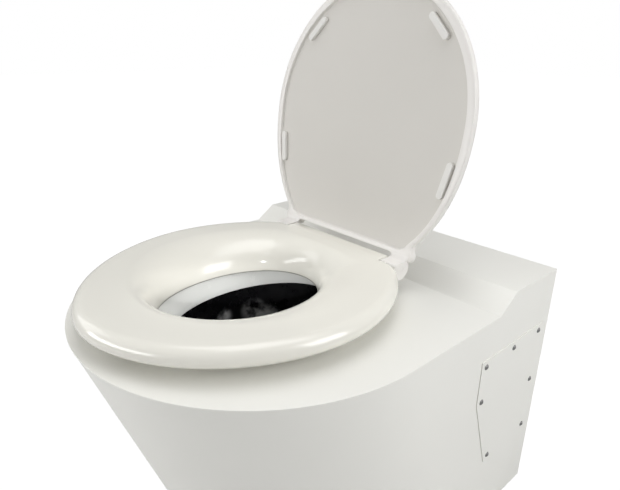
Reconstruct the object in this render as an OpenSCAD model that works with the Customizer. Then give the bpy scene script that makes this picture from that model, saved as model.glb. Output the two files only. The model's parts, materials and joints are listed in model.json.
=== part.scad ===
// Bariatric toilet: a wide welded sheet-metal pan with a heavy plastic seat and lid.
// Millimetres. X is across the body, +Y points to the wall behind it and +Z is up.
// The origin lies on the floor, halfway along the body's depth and width.

/* [Body] */
// Width across the side walls
body_w = 610; // [540:2:740]
// Straight length of each side at deck height, from the rear face to the round front
side_len = 384; // [350:1:470]
// Height of the deck that carries the seat
deck_h = 419; // [400:1:510]
// How far the front wall draws back for each millimetre down
front_rake = 0.333; // [0.25:0.001:0.4]
// Thickness of the body's sheet
sheet_t = 2; // [1.5:0.1:3]

/* [Rear ledge] */
// Height of the ledge over the deck
ledge_rise = 28; // [20:1:40]
// Depth of the ledge's flat top
ledge_top_d = 134; // [110:1:150]
// Distance from the rear face to the foot of the slope
ledge_foot_d = 175; // [160:1:185]

/* [Bowl] */
// Width of the opening in the deck
opening_w = 242; // [222:1:276]
// Length of that opening
opening_l = 334; // [320:1:340]
// Distance from the hinge axis forward to the middle of the opening
opening_from_hinge = 189; // [184:1:194]
// Narrowing of the collar on each side, from the deck down to its lower edge
collar_draft = 12; // [4:1:20]
// Depth of the white collar that hangs from the deck
collar_h = 43; // [36:1:52]
// Width of the water channel between the collar and the rim wall
channel_w = 14; // [10:1:20]
// Depth of the rim wall that closes the channel
rim_h = 50; // [48:1:60]

/* [Drain and flush] */
// Outside diameter of the trap's pipe
trap_od = 90; // [75:1:96]
// Bend radius of the trap's pipe, at its middle
trap_bend_r = 60; // [56:1:66]
// Height of the middle of the waste outlet
outlet_h = 190; // [180:1:220]
// Outside diameter of the outlet spigot
spigot_od = 102; // [102:1:120]
// Length of the spigot's free bore
spigot_bore_l = 62; // [50:1:75]
// Bore of the flush pipe
flush_bore = 38; // [32:1:38]

/* [Seat] */
// Width of the seat
seat_w = 475; // [420:1:560]
// Distance from the hinge axis to the seat's front edge
seat_reach = 457; // [440:1:462]
// Distance from the hinge axis forward to the seat's widest place
seat_wide_at = 198; // [180:1:220]
// Width of the hole at its lip
hole_w = 206; // [150:1:208]
// Length of the hole at its lip
hole_l = 274; // [230:1:276]
// Distance from the hinge axis forward to the middle of the hole
hole_from_hinge = 210; // [204:1:212]
// Height of the seat's top over the deck
seat_top = 51; // [48:1:60]
// Depth of the seat's outer edge
seat_edge = 30; // [26:1:34]

/* [Lid] */
// Width of the lid
lid_w = 442; // [400:1:520]
// Distance from the hinge axis to the lid's front edge
lid_reach = 455; // [420:1:480]
// Distance from the hinge axis forward to the lid's widest place
lid_wide_at = 226; // [200:1:250]
// Width of the raised rim round the underside
lid_rim_w = 13; // [9:1:18]
// Depth of the underside inside the rim
lid_recess = 6; // [4:0.5:8]
// Angle between the closed and the open lid
lid_open = 99; // [92:1:104]

/* [Hinge] */
// Distance from the rear face forward to the hinge axis
hinge_back = 224.5; // [216:0.5:240]
// Half the thickness of the seat's tongue, and the hinge axis's depth under the seat's top
knuckle_r = 11; // [10:0.5:11.5]
// Radius of the lid's ears
ear_r = 18; // [17:0.5:20]
// Diameter of the hinge rod
rod_d = 10; // [8:0.5:10]
// Width of the seat's tongue between the lid's ears
tongue_w = 232; // [190:2:240]
// Length of each ear
ear_l = 33; // [24:1:36]
// Distance between the two fixing bolts
post_spacing = 140; // [130:5:160]

/* [Access panels] */
// Distance from the rear face to the rear screws
panel_rear = 34; // [30:1:40]
// Distance from the rear face to the front screws
panel_front = 200; // [180:1:205]
// Distance from the rear face to the lower front screw
panel_low_front = 152; // [130:1:160]
// Height of the lowest screws
panel_low = 144; // [120:1:160]
// Height of the top row of screws
panel_top = 342; // [310:1:355]
// Distance from the screws out to the panel's edge
panel_margin = 12; // [10:1:14]
// Thickness of a panel
panel_t = 1.5; // [1:0.5:2]

/* [Hidden] */
$fn = 96;

// Gap left between pieces that lie together but don't touch
seat_gap = 0.3;
// Radial gap of a shaft that turns in its bore
running = 0.05;
// Overlap that lets a cut pass through a face
past = 1;

// Main places
depth = side_len + body_w/2;
rear_y = depth/2;
arc_y = rear_y - side_len;
hinge_y = rear_y - hinge_back;
ledge_h = deck_h + ledge_rise;
deck_under = deck_h - sheet_t;
seat_z = deck_h + seat_top;
hinge_z = seat_z - knuckle_r;
opening_y = hinge_y - opening_from_hinge;
inner_w = body_w - 2*sheet_t;

// Frame under the deck
rail_w = 40;
rail_h = 20;
rim_outer_w = opening_w + 2*(sheet_t + channel_w + sheet_t);
rim_outer_l = opening_l + 2*(sheet_t + channel_w + sheet_t);
rail_x = rim_outer_w/2 + 12 + rail_w/2;
rail_front = opening_y - 130;
rail_rear = rear_y - ledge_foot_d - 10;
leg_w = 40;
leg_wall = 3;
leg_gap = 10;
base_t = 5;
base_w = 50;
floor_arc_y = arc_y + front_rake*deck_h;

// The front legs stand clear of the skirt at the floor, where the rake brings it nearest
skirt_at_leg_y = floor_arc_y - sqrt(pow(inner_w/2, 2) - pow(rail_x + leg_w/2, 2));
leg_ys = [max(rail_front + 100, skirt_at_leg_y + leg_gap + leg_w/2), rail_rear - 40];
anchor_in = 30;
anchor_ys = [rear_y - 50, rear_y - 140];
anchor_d = 12;

// Fixing holes for studs in the wall
stud_d = 12;
stud_x = body_w/2 - 45;
stud_zs = [panel_low + 40, panel_top - 20];

// Trap and outlet
trap_r = trap_od/2;
trap_wall = 2;
bowl_out_y = opening_y + 89;
bowl_out_z = outlet_h - trap_bend_r;
trap_low_z = bowl_out_z - 20;
trap_up_y = bowl_out_y + 2*trap_bend_r;
spigot_r = spigot_od/2;
spigot_wall = 2;
spigot_grip = 20;
spigot_end_y = rear_y - spigot_bore_l;
seal_band = 6.4;
seal_lip = 6;
seal_in = 8;

// Flush pipe
flush_wall = 1.5;
flush_r = flush_bore/2 + flush_wall;
flush_z = deck_under - rim_h/2;
flush_in_y = opening_y + rim_outer_l/2 - 6;

// Seat
seat_cy = hinge_y - seat_wide_at;
seat_low = seat_z - seat_edge;
seat_back = 245;
seat_round = [1.88, 1.95];
hole_round = [2.1, 2];

// The funnel's lip dips into the opening where it fits inside, and otherwise stays above the deck
lip_lift = 1.5;
lip_side_gap = (opening_w - hole_w)/2;
lip_front_gap = opening_from_hinge + opening_l/2 - hole_from_hinge - hole_l/2;
lip_dips = lip_side_gap >= 15 && lip_front_gap >= 8;
seat_lip_z = lip_dips ? deck_h - 6 : deck_h + lip_lift;
shoulder_y = hinge_y - 13;
shoulder_gap = 0.6;
tongue_round = 6;
tongue_back = 6;
hole_cy = hinge_y - hole_from_hinge;
relief_from = hinge_y - 50;
relief_run = 12;
relief_z = hinge_z - 8;
edge_round = 17;
crown_at = 0.70;
front_squeeze = 0.5;
bumper_l = 40;
bumper_w = 14;
bumper_angles = [-56, 24];

// Hinge
post_l = 24;
post_r = knuckle_r - 2.5;
post_neck = 13;
post_base = [36, 34, 6];
gasket_t = 1.5;
post_foot_z = deck_h + gasket_t;
bolt_r = 4;
bolt_hole_r = 4.5;
bolt_top_z = post_foot_z + 12;
backing_t = 4;
backing = [44, 28, -10];
washer_t = 1.6;
washer_r = 10;
nut_h = 6.5;
nut_r = 7.5;
bolt_low_z = deck_under - backing_t - washer_t - nut_h - 8;
ear_gap = 2.5;
ear_in = tongue_w/2 + ear_gap;
ear_out = ear_in + ear_l;
cap_t = 3;
rod_l = 2*(ear_out - cap_t);

// Lid, drawn closed round the hinge axis: y runs back and z up from the axis
lid_under = knuckle_r + 1;
lid_edge_t = 16;
lid_rise = 3;
lid_rear_edge = -8.5;
lid_rim_rear = -26;
lid_gap_edge = -19;
lid_root = -38;
lid_round = [2, 2.1, 2.25];
lid_bumper_t = 0.7;
// Pads in the lid's recess, as [angle round the lid, distance in from its edge, length]
lid_pads = [[-46.7, 28.4, 52], [15, 24.1, 58]];

// Screws and inserts of the access panels
screw_r = 2.5;
screw_head_r = 5;
screw_head_t = 2.6;
screw_l = 14;
insert_r = 4;
insert_flange_r = 6;
insert_l = 9;

// Plan shapes and curves

function bezier(a, b, c, d, n) = [for (i = [0 : n])
    let (t = i/n) a*pow(1 - t, 3) + 3*b*t*pow(1 - t, 2) + 3*c*t*t*(1 - t) + d*pow(t, 3)];

function drop_last(list) = [for (i = [0 : len(list) - 2]) list[i]];

function signed_power(v, p) = sign(v)*pow(abs(v), p);

// Oval whose front and rear halves have their own length and roundness
function oval_point(a, half_w, front, rear, round_front, round_rear) =
    let (e = sin(a) < 0 ? round_front : round_rear)
    [half_w*signed_power(cos(a), 2/e), (sin(a) < 0 ? front : rear)*signed_power(sin(a), 2/e)];

// Each corner of a polygon moved out by d, along the lines of its two sides
function grown(pts, d) = let (n = len(pts)) [for (i = [0 : n - 1])
    let (
        p = pts[i],
        before = p - pts[(i + n - 1) % n],
        after = pts[(i + 1) % n] - p,
        u = before/norm(before),
        v = after/norm(after),
        out_u = [u[1], -u[0]],
        out_v = [v[1], -v[0]]
    )
    p + d*(out_u + out_v)/(1 + out_u*out_v)];

// Side faces between neighbouring rings of n points each
function ring_faces(n, from, to) = [for (j = [0 : n - 1])
    let (k = (j + 1) % n)
    each [[from*n + j, to*n + j, to*n + k], [from*n + j, to*n + k, from*n + k]]];

// A closed skin whose last ring joins its first
module ring_skin(rings) {
    m = len(rings);
    n = len(rings[0]);
    polyhedron(
        points = [for (ring = rings) each ring],
        faces = [for (i = [0 : m - 1]) each ring_faces(n, i, (i + 1) % m)],
        convexity = 8
    );
}

// A closed skin with a middle point in its first and last rings
module capped_skin(rings, first_point, last_point) {
    m = len(rings);
    n = len(rings[0]);
    polyhedron(
        points = concat([for (ring = rings) each ring], [first_point, last_point]),
        faces = concat(
            [for (i = [0 : m - 2]) each ring_faces(n, i, i + 1)],
            [for (j = [0 : n - 1]) [m*n, j, (j + 1) % n]],
            [for (j = [0 : n - 1]) [m*n + 1, (m - 1)*n + (j + 1) % n, (m - 1)*n + j]]
        ),
        convexity = 8
    );
}

module ellipse(w, l) {
    scale([1, l/w]) circle(d = w);
}

// Outline of the body seen from above, inset from its outside
module body_plan(inset, extra_rear = 0) {
    half = body_w/2 - inset;
    union() {
        circle(r = half);
        translate([-half, 0]) square([2*half, side_len + extra_rear]);
    }
}

// Solid that fills the body's walls, with the front drawn back towards the floor
module body_core(inset, top_z) {
    multmatrix([[1, 0, 0, 0], [0, 1, -front_rake, arc_y + front_rake*deck_h], [0, 0, 1, 0], [0, 0, 0, 1]])
        linear_extrude(height = top_z) body_plan(inset, front_rake*ledge_h + past);
}

// Outline of the deck seen from the side, with its top lowered by drop
function deck_line(drop) = [
    [-rear_y - past, deck_h - drop],
    [rear_y - ledge_foot_d, deck_h - drop],
    [rear_y - ledge_top_d, ledge_h - drop],
    [rear_y + past, ledge_h - drop]
];

// Extrudes a side view, given as [y, z] points, to the width w
module across(w) {
    rotate([90, 0, 90]) translate([0, 0, -w/2]) linear_extrude(height = w) children();
}

module mirrored() {
    children();
    mirror([1, 0, 0]) children();
}

module on_side(left) {
    mirror([left ? 1 : 0, 0, 0]) children();
}

// Body

module deck() {
    color("white") difference() {
        intersection() {
            across(body_w + 2*past) polygon(concat(
                deck_line(0),
                [for (i = [3 : -1 : 0]) deck_line(sheet_t)[i]]
            ));
            translate([0, arc_y, deck_under - past])
                linear_extrude(height = ledge_rise + sheet_t + 2*past) body_plan(0);
        }
        translate([0, opening_y, deck_under - past])
            linear_extrude(height = sheet_t + 2*past) ellipse(opening_w, opening_l);
        for (side = [-1, 1])
            translate([side*post_spacing/2, hinge_y, deck_under - past])
                cylinder(r = bolt_hole_r, h = sheet_t + 2*past);
    }
}

module skirt() {
    color("white") difference() {
        intersection() {
            body_core(0, ledge_h);
            across(body_w + 2*past) polygon(concat(
                [[rear_y, 0], [-rear_y - past, 0]],
                [for (i = [0 : 2]) deck_line(sheet_t)[i]],
                [[rear_y, ledge_h - sheet_t]]
            ));
        }
        body_core_inside();
        for (side = [0, 1]) on_side(side) panel_cut(-panel_margin, body_w/2 - 5, 10);
        for (side = [0, 1], spot = screw_spots) on_side(side)
            translate([body_w/2 - 5, rear_y - spot[0], spot[1]])
                rotate([0, 90, 0]) cylinder(r = insert_r, h = 10);
    }
}

// The space inside the walls, open at the floor and at the rear
module body_core_inside() {
    translate([0, front_rake*past, -past]) body_core(sheet_t, ledge_h + 2*past);
}

module back_plate() {
    color("white") difference() {
        translate([-inner_w/2, rear_y - sheet_t, base_t])
            cube([inner_w, sheet_t, ledge_h - sheet_t - base_t]);
        translate([0, rear_y - sheet_t - past, 0]) {
            translate([0, 0, outlet_h]) along_y(spigot_r + 2*seat_gap + seal_band, sheet_t + 2*past);
            translate([0, 0, flush_z]) along_y(flush_r + 2*seat_gap + seal_band, sheet_t + 2*past);
            for (side = [-1, 1], z = stud_zs)
                translate([side*stud_x, 0, z]) along_y(stud_d/2, sheet_t + 2*past);
        }
    }
}

module along_y(r, l) {
    rotate([-90, 0, 0]) cylinder(r = r, h = l);
}

// Outline of the body at the floor, with its front arc's radius r and its rear at y
module floor_plan(r, y) {
    intersection() {
        translate([0, floor_arc_y]) union() {
            circle(r = r);
            translate([-r, 0]) square([2*r, body_w]);
        }
        translate([-body_w, y - 2*body_w]) square([2*body_w, 2*body_w]);
    }
}

// Flat frame on the floor: a strip along the walls, two bars under the legs and the anchor holes
module base_frame() {
    floor_r = inner_w/2 - seat_gap;
    bar_y = floor_arc_y - sqrt(pow(floor_r - base_w/2, 2) - pow(rail_x + leg_w/2, 2));
    color("gainsboro") difference() {
        linear_extrude(height = base_t) {
            difference() {
                floor_plan(floor_r, rear_y);
                floor_plan(floor_r - base_w, rear_y - base_w);
            }
            for (side = [-1, 1])
                translate([side*rail_x - leg_w/2, bar_y]) square([leg_w, rear_y - base_w/2 - bar_y]);
        }
        for (side = [-1, 1], y = anchor_ys)
            translate([side*(inner_w/2 - anchor_in), y, -past]) cylinder(d = anchor_d, h = base_t + 2*past);
    }
}

// Four square tubes that carry the deck
module support_legs() {
    leg_h = deck_under - rail_h - base_t;
    color("gainsboro") for (side = [-1, 1], y = leg_ys)
        translate([side*rail_x, y, base_t]) difference() {
            translate([-leg_w/2, -leg_w/2, 0]) cube([leg_w, leg_w, leg_h]);
            translate([-leg_w/2 + leg_wall, -leg_w/2 + leg_wall, -past])
                cube([leg_w - 2*leg_wall, leg_w - 2*leg_wall, leg_h + 2*past]);
        }
}

// Channel bar welded under the deck beside the bowl
module deck_rail(left) {
    color("gainsboro") on_side(left) translate([rail_x, rail_front, deck_under - rail_h]) difference() {
        translate([-rail_w/2, 0, 0]) cube([rail_w, rail_rear - rail_front, rail_h]);
        translate([-rail_w/2 + leg_wall, -past, leg_wall])
            cube([rail_w - 2*leg_wall, rail_rear - rail_front + 2*past, rail_h]);
    }
}

// Bowl, rim and pipes

// Points of the opening's oval, grown outwards, moved back and lifted to z
function opening_ring(grow, back, z) = [for (j = [0 : 71])
    [(opening_w/2 + grow)*cos(5*j), opening_y + back + (opening_l/2 + grow)*sin(5*j), z]];

// White collar that runs down and in from the edge of the opening
module rim_collar() {
    low_z = deck_under - collar_h;
    color("white") ring_skin([
        opening_ring(sheet_t, 0, deck_under),
        opening_ring(0, 0, deck_under),
        opening_ring(-collar_draft, collar_draft, low_z),
        opening_ring(sheet_t - collar_draft, collar_draft, low_z)
    ]);
}

// Outer wall of the flushing rim, with the hole for the flush pipe
module rim_box() {
    inner = sheet_t + channel_w;
    color("dimgray") difference() {
        ring_skin([
            opening_ring(inner + sheet_t, 0, deck_under),
            opening_ring(inner, 0, deck_under),
            opening_ring(inner, 0, deck_under - rim_h),
            opening_ring(inner + sheet_t, 0, deck_under - rim_h)
        ]);
        translate([0, opening_y, flush_z]) along_y(flush_r + seat_gap, rim_outer_l);
    }
}

// Bowl under the rim: from the oval rim down to the round outlet, as a thin shell
module bowl() {
    sides = 64;
    levels = 12;
    top_z = deck_under - rim_h;
    function level_ring(t, grow) = [for (j = [0 : sides - 1])
        let (
            a = 360*j/sides,
            s = sin(90*t),
            half_w = trap_r - trap_wall + (rim_outer_w/2 - sheet_t - trap_r + trap_wall)*s + grow,
            half_l = trap_r - trap_wall + (rim_outer_l/2 - sheet_t - trap_r + trap_wall)*s + grow,
            cy = bowl_out_y + (opening_y - bowl_out_y)*s
        )
        [half_w*cos(a), cy + half_l*sin(a), bowl_out_z + (top_z - bowl_out_z)*(1 - cos(90*t))]];
    color("#101112") ring_skin(concat(
        [for (i = [0 : levels]) level_ring(i/levels, sheet_t)],
        [for (i = [levels : -1 : 0]) level_ring(i/levels, 0) + lift(sheet_t*cos(90*i/levels), sides)]
    ));
}

// The same rise for each point of a ring
function lift(z, n) = [for (j = [0 : n - 1]) [0, 0, z]];

module tube(r, wall, l) {
    difference() {
        cylinder(r = r, h = l);
        translate([0, 0, -past]) cylinder(r = r - wall, h = l + 2*past);
    }
}

// Pipe bend in the plane of the side view, from angle a, through turn, round [y, z]
module pipe_bend(y, z, a, turn) {
    translate([0, y, z]) rotate([90, 0, 90]) rotate([0, 0, a]) rotate_extrude(angle = turn)
        translate([trap_bend_r, 0]) difference() {
            circle(r = trap_r);
            circle(r = trap_r - trap_wall);
        }
}

// Lower half of the P-trap: down from the bowl, round and up again
module trap_bend() {
    color("dimgray") {
        translate([0, bowl_out_y, trap_low_z]) tube(trap_r, trap_wall, bowl_out_z - trap_low_z);
        pipe_bend(bowl_out_y + trap_bend_r, trap_low_z, 180, 180);
        translate([0, trap_up_y, trap_low_z]) tube(trap_r, trap_wall, bowl_out_z - trap_low_z);
    }
}

// Upper half of the P-trap: over the weir and back to the wall
module trap_outlet() {
    color("dimgray") {
        pipe_bend(trap_up_y + trap_bend_r, bowl_out_z, 90, 90);
        translate([0, trap_up_y + trap_bend_r, outlet_h]) rotate([-90, 0, 0])
            tube(trap_r, trap_wall, spigot_end_y - trap_up_y - trap_bend_r);
    }
}

// Wider end of the waste outlet, which a pan connector fits
module outlet_spigot() {
    color("silver") translate([0, spigot_end_y - spigot_grip, outlet_h]) rotate([-90, 0, 0]) difference() {
        cylinder(r = spigot_r, h = spigot_grip + spigot_bore_l);
        translate([0, 0, -past]) cylinder(r = trap_r + seat_gap, h = spigot_grip + 2*past);
        translate([0, 0, spigot_grip]) cylinder(r = spigot_r - spigot_wall, h = spigot_bore_l + past);
    }
}

// Rubber ring between a pipe and its hole in the back plate
module wall_seal(pipe_r, z) {
    inner = pipe_r + seat_gap;
    color("#1c1c1c") translate([0, rear_y - seal_in, z]) rotate([-90, 0, 0]) rotate_extrude() polygon([
        [inner, 0],
        [inner + seal_band + seal_lip, 0],
        [inner + seal_band + seal_lip, seal_in - sheet_t - seat_gap],
        [inner + seal_band, seal_in - sheet_t - seat_gap],
        [inner + seal_band, seal_in],
        [inner, seal_in]
    ]);
}

module outlet_seal() {
    wall_seal(spigot_r, outlet_h);
}

module flush_pipe() {
    color("silver") translate([0, flush_in_y, flush_z]) rotate([-90, 0, 0])
        tube(flush_r, flush_wall, rear_y - flush_in_y);
}

module flush_seal() {
    wall_seal(flush_r, flush_z);
}

// Access panels

// Screw places, as [distance from the rear face, height]
panel_kink = panel_top - 65;
screw_corners = [
    [panel_rear, panel_low], [panel_rear, panel_top], [panel_front, panel_top],
    [panel_front, panel_kink], [panel_low_front, panel_low]
];
screw_spots = concat(screw_corners, [
    [(panel_rear + panel_front)/2, panel_top],
    [panel_rear, (panel_low + panel_top)/2]
]);

// A slab with the panel's outline, its edge d outside the screws
module panel_cut(d, x, t) {
    outline = grown([for (i = [len(screw_corners) - 1 : -1 : 0]) screw_corners[i]], d);
    translate([x, 0, 0]) rotate([90, 0, 90]) linear_extrude(height = t)
        polygon([for (p = outline) [rear_y - p[0], p[1]]]);
}

module access_panel(left) {
    color("white") on_side(left) difference() {
        panel_cut(panel_margin, body_w/2, panel_t);
        for (spot = screw_spots) translate([body_w/2 - past, rear_y - spot[0], spot[1]])
            rotate([0, 90, 0]) cylinder(r = screw_r + 0.25, h = panel_t + 2*past);
    }
}

// Domed screws with a hexagon socket
module panel_screws(left) {
    dome_r = (pow(screw_head_r, 2) + pow(screw_head_t, 2))/(2*screw_head_t);
    color("gray") on_side(left) for (spot = screw_spots)
        translate([body_w/2 + panel_t, rear_y - spot[0], spot[1]]) rotate([0, 90, 0]) difference() {
            union() {
                intersection() {
                    translate([0, 0, screw_head_t - dome_r]) sphere(r = dome_r);
                    cylinder(r = screw_head_r, h = screw_head_t);
                }
                translate([0, 0, -screw_l]) cylinder(r = screw_r, h = screw_l + 0.5);
            }
            translate([0, 0, screw_head_t - 1.4]) cylinder(r = 1.7, h = 2, $fn = 6);
        }
}

// Threaded inserts set in the wall behind the screws
module panel_inserts(left) {
    color("silver") on_side(left) for (spot = screw_spots)
        translate([body_w/2, rear_y - spot[0], spot[1]]) rotate([0, -90, 0]) difference() {
            union() {
                cylinder(r = insert_r - running, h = insert_l);
                translate([0, 0, sheet_t]) cylinder(r = insert_flange_r, h = 1.2);
            }
            translate([0, 0, -past]) cylinder(r = screw_r + running, h = insert_l + 2*past);
        }
}

// Hinge

// A bar along X between two places, centred on the hinge axis
module axis_bar(r, x0, x1) {
    translate([x0, hinge_y, hinge_z]) rotate([0, 90, 0]) cylinder(r = r, h = x1 - x0);
}

module hinge_post(left) {
    x = post_spacing/2;
    color("gainsboro") on_side(left) difference() {
        union() {
            axis_bar(post_r, x - post_l/2, x + post_l/2);
            translate([x - post_l/2, hinge_y - post_neck/2, post_foot_z])
                cube([post_l, post_neck, hinge_z - post_foot_z]);
            translate([x - post_base[0]/2, hinge_y - post_base[1]/2, post_foot_z]) cube(post_base);
        }
        axis_bar(rod_d/2 + running, x - post_l, x + post_l);
        translate([x, hinge_y, post_foot_z - past])
            cylinder(r = bolt_r + running, h = bolt_top_z - post_foot_z + past);
    }
}

module hinge_rod() {
    color("silver") axis_bar(rod_d/2, -rod_l/2, rod_l/2);
}

// Runs its children at both fixing bolts
module at_posts(z) {
    for (side = [-1, 1]) translate([side*post_spacing/2, hinge_y, z]) children();
}

module hinge_bolts() {
    color("silver") at_posts(bolt_low_z) cylinder(r = bolt_r, h = bolt_top_z - bolt_low_z - seat_gap);
}

module post_gaskets() {
    color("#2a2a2a") at_posts(deck_h) difference() {
        translate([-post_base[0]/2, -post_base[1]/2, 0]) cube([post_base[0], post_base[1], gasket_t]);
        translate([0, 0, -past]) cylinder(r = bolt_r + seat_gap, h = gasket_t + 2*past);
    }
}

module hinge_backing_plates() {
    color("silver") at_posts(deck_under - backing_t) difference() {
        translate([-backing[0]/2, backing[2], 0]) cube([backing[0], backing[1], backing_t]);
        translate([0, 0, -past]) cylinder(r = bolt_hole_r, h = backing_t + 2*past);
    }
}

module hinge_washers() {
    color("silver") at_posts(deck_under - backing_t - washer_t) difference() {
        cylinder(r = washer_r, h = washer_t);
        translate([0, 0, -past]) cylinder(r = bolt_hole_r, h = washer_t + 2*past);
    }
}

module hinge_nuts() {
    color("silver") at_posts(deck_under - backing_t - washer_t - nut_h) difference() {
        cylinder(r = nut_r, h = nut_h, $fn = 6);
        translate([0, 0, -past]) cylinder(r = bolt_r + running, h = nut_h + 2*past);
    }
}

// Seat

// Height of the seat's underside, which rises near the hinge
function seat_under(y) = seat_low + (relief_z - seat_low)*min(1, max(0, (y - relief_from)/relief_run));

// The funnel is steeper towards the front of the hole
function funnel_width(a) = 1 - front_squeeze*pow(max(0, -sin(a)), 2);

// Plan place at the angle a: w runs from the hole's lip, 0, to the outline, 1, drawn in by inset
function seat_plan(a, w, inset) =
    let (
        front = seat_reach - seat_wide_at - inset,
        rear = seat_back - inset,
        outer = oval_point(a, seat_w/2 - inset, front, rear, seat_round[0], seat_round[1]),
        inner = oval_point(a, hole_w/2, hole_l/2, hole_l/2, hole_round[0], hole_round[1])
    )
    [
        inner[0]*(1 - w) + outer[0]*w,
        (hole_cy + inner[1])*(1 - w) + min(seat_cy + outer[1], shoulder_y - 0.3*inset)*w
    ];

// Rings of the seat's skin, from the outline over the crown, down the funnel and back along the underside
module seat_ring() {
    sides = 96;
    under_w = 0.13;
    angles = [for (j = [0 : sides - 1]) 360*j/sides];
    function top_ring(inset, z) = [for (a = angles) let (p = seat_plan(a, 1, inset)) [p[0], p[1], z]];
    function funnel_ring(w, z) = [for (a = angles)
        let (p = seat_plan(a, w*funnel_width(a), edge_round)) [p[0], p[1], z]];
    function under_ring(w, inset, rise) = [for (a = angles)
        let (
            p = seat_plan(a, w, inset),
            low = seat_under(p[1])
        )
        [p[0], p[1], low + rise*(seat_z - edge_round - low)]];
    ring_skin(concat(
        [for (t = [0 : 22.5 : 90])
            top_ring(edge_round*(1 - cos(t)), seat_z - edge_round + (edge_round - 0.6)*sin(t))],
        [for (p = bezier([crown_at, seat_z], [0.36, seat_z], [0.03, seat_z - 18], [0, seat_lip_z], 9))
            funnel_ring(p[0], p[1])],
        [[for (a = angles) let (p = seat_plan(a, 0.035, 0)) [p[0], p[1], seat_lip_z]]],
        [for (w = [under_w, 0.5]) under_ring(w, 0, 0)],
        [for (t = [90 : -22.5 : 22.5]) under_ring(1, edge_round*(1 - cos(t)), 1 - sin(t))]
    ));
}

// Space that a hinge post needs inside the tongue, through the seat's whole swing
module post_pocket() {
    for (side = [-1, 1]) {
        x0 = side*post_spacing/2 - post_l/2 - 0.5;
        axis_bar(post_r + 0.5, x0, x0 + post_l + 1);
        translate([x0, hinge_y - post_neck/2 - 0.7, hinge_z - 2*knuckle_r])
            cube([post_l + 1, post_neck + 20, 2*knuckle_r + post_neck/2 + 1.2]);
    }
}

module seat() {
    color("#f4f3ec") difference() {
        union() {
            seat_ring();
            hull() for (side = [-1, 1]) translate([0, tongue_back, side*(knuckle_r - tongue_round)])
                axis_bar(tongue_round, -tongue_w/2, tongue_w/2);
            translate([-tongue_w/2, shoulder_y - 20, hinge_z - knuckle_r])
                cube([tongue_w, hinge_y - shoulder_y + 20 + tongue_back, 2*knuckle_r]);
        }
        for (side = [0, 1]) on_side(side)
            axis_bar(ear_r + shoulder_gap, tongue_w/2, ear_out + ear_gap);
        axis_bar(rod_d/2 + running, -tongue_w, tongue_w);
        post_pocket();
    }
}

// A pad with round ends, its length along X
module pad(l, w, t) {
    linear_extrude(height = t) union() {
        square([l - w, w], center = true);
        for (side = [-1, 1]) translate([side*(l - w)/2, 0]) circle(d = w);
    }
}

module seat_bumpers() {
    color("#e9e8e2") mirrored() for (a = bumper_angles)
        translate([seat_plan(a, 0.5, 0)[0], seat_plan(a, 0.5, 0)[1], deck_h + seat_gap])
            rotate([0, 0, a + 90]) pad(bumper_l, bumper_w, seat_low - deck_h - seat_gap);
}

// Lid

// Carries what is drawn closed round the hinge axis to the open lid's place
module at_lid() {
    translate([0, hinge_y, hinge_z]) rotate([-lid_open, 0, 0]) children();
}

// A point of the lid's outline, inset from its edge. The rear corners grow squarer further in
function lid_point(a, inset) =
    let (
        front = lid_reach - lid_wide_at - inset,
        rear = lid_wide_at + 30 - inset,
        round_rear = lid_round[1] + (lid_round[2] - lid_round[1])*inset/lid_rim_w,
        p = oval_point(a, lid_w/2 - inset, front, rear, lid_round[0], round_rear)
    )
    [p[0], min(p[1] - lid_wide_at, lid_rear_edge + inset*(lid_rim_rear - lid_rear_edge)/lid_rim_w)];

module lid_plate() {
    sides = 72;
    top = lid_under + lid_edge_t;
    roof = lid_under + lid_recess;
    mid = [0, -lid_wide_at];
    section = concat(
        [[lid_rim_w + 3, roof], [lid_rim_w + 1, roof - 1], [lid_rim_w, lid_under + 1]],
        [[lid_rim_w - 1, lid_under], [1.5, lid_under], [0, lid_under + 1.5]],
        bezier([0, top - 8], [0, top - 3], [3, top], [10, top], 3)
    );
    function ring(inset, z) = [for (j = [0 : sides - 1])
        let (p = lid_point(360*j/sides, inset)) [p[0], p[1], z]];
    function dome_ring(k) = [for (j = [0 : sides - 1])
        let (p = mid + (lid_point(360*j/sides, 10) - mid)*k) [p[0], p[1], top + lid_rise*(1 - k*k)]];
    capped_skin(
        concat([for (p = section) ring(p[0], p[1])], [for (k = [0.75, 0.4]) dome_ring(k)]),
        [mid[0], mid[1], roof],
        [mid[0], mid[1], top + lid_rise]
    );
}

// An ear round the hinge axis, flat where it lies level with the seat's top when the lid is open,
// and the corner of the lid that carries it
module lid_ear() {
    translate([ear_in, lid_root, lid_under]) cube([ear_l, lid_rear_edge - lid_root, lid_edge_t - 2]);
    difference() {
        translate([ear_in, 0, 0]) rotate([0, 90, 0]) cylinder(r = ear_r, h = ear_l);
        rotate([lid_open, 0, 0]) translate([ear_in - past, -2*ear_r, knuckle_r])
            cube([ear_l + 2*past, 4*ear_r, ear_r]);
    }
}

module lid() {
    color("#f1efeb") at_lid() difference() {
        union() {
            difference() {
                lid_plate();
                translate([-ear_in, lid_gap_edge, 0]) cube([2*ear_in, 60, 60]);
            }
            for (side = [0, 1]) on_side(side) lid_ear();
        }
        translate([-ear_out - past, 0, 0]) rotate([0, 90, 0])
            cylinder(r = rod_d/2 + running, h = 2*ear_out + 2*past);
    }
}

module lid_bumpers() {
    color("#f7f6f2") at_lid() mirrored() for (p = lid_pads) {
        place = lid_point(p[0], p[1]);
        along = lid_point(p[0] + 1, p[1]) - lid_point(p[0] - 1, p[1]);
        translate([place[0], place[1], lid_under - lid_bumper_t]) rotate([0, 0, atan2(along[1], along[0])])
            pad(p[2], 11, lid_recess + lid_bumper_t);
    }
}

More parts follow.
